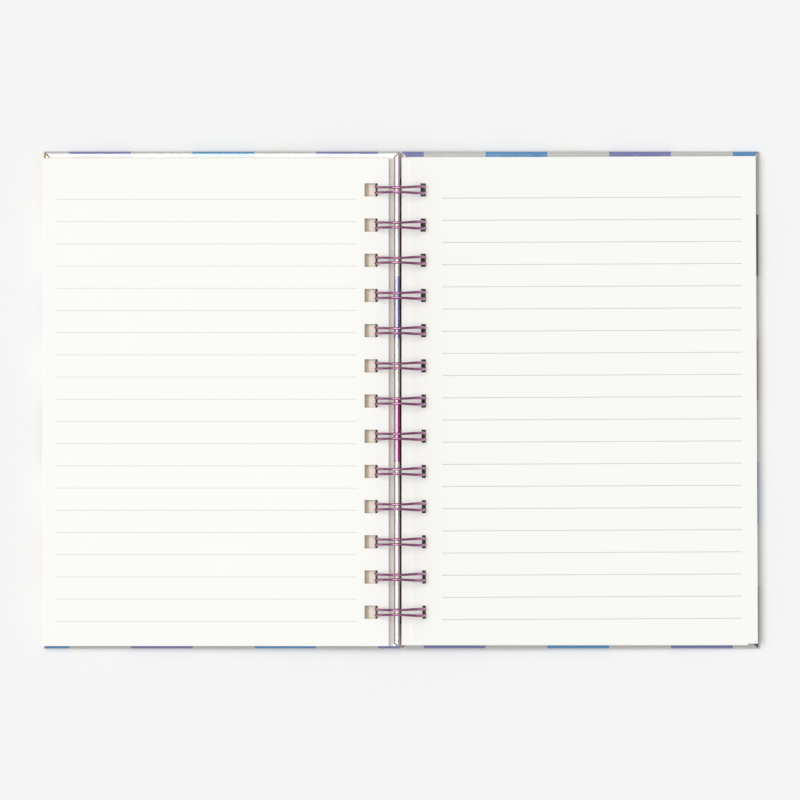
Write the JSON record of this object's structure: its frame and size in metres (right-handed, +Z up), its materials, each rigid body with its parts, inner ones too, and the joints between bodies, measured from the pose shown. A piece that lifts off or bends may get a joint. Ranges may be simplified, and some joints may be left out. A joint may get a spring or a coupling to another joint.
{
  "type": "open twin-loop notebook",
  "caption": "Small ruled notebook with stiff patterned covers, lying open flat on its double-loop wire binding.",
  "frame": {"origin": "on the table under the middle of the spine, midway between the outer edges", "axes": "+X across the spread to the right, +Y up the page along the spine, +Z up from the table"},
  "size_m": [0.2585, 0.1794, 0.0187],
  "materials": {
    "front_cover_wrap": "printed checks under gloss lamination",
    "front_board": "grey board",
    "front_endpaper": "smooth uncoated paper",
    "left_pages": "uncoated writing paper with grey ruling",
    "back_cover_wrap": "printed checks under gloss lamination",
    "back_board": "grey board",
    "back_endpaper": "smooth uncoated paper",
    "right_pages": "uncoated writing paper with grey ruling",
    "twin_loop_wire": "mauve metallic coating"
  },
  "bodies": {
    "wire_binding": {"twin_loop_wire": "twin_loop_wire"},
    "front_cover": {"front_cover_wrap": "front_cover_wrap", "front_board": "front_board", "front_endpaper": "front_endpaper"},
    "left_leaves": {"left_pages": "left_pages"},
    "back_cover": {"back_cover_wrap": "back_cover_wrap", "back_board": "back_board", "back_endpaper": "back_endpaper"},
    "right_leaves": {"right_pages": "right_pages"}
  },
  "joints": [
    {"name": "front_cover_turn", "type": "hinge", "parent": "wire_binding", "child": "front_cover", "pos_m": [0, 0, 0.00943], "axis": [0, 1, 0], "range_deg": [0, 180]},
    {"name": "left_leaves_turn", "type": "hinge", "parent": "front_cover", "child": "left_leaves", "pos_m": [0, 0, 0.00943], "axis": [0, 1, 0], "range_deg": [0, 180]},
    {"name": "back_cover_turn", "type": "hinge", "parent": "wire_binding", "child": "back_cover", "pos_m": [0, 0, 0.00943], "axis": [0, 1, 0], "range_deg": [-180, 0]},
    {"name": "right_leaves_turn", "type": "hinge", "parent": "back_cover", "child": "right_leaves", "pos_m": [0, 0, 0.00943], "axis": [0, 1, 0], "range_deg": [-180, 0]}
  ]
}
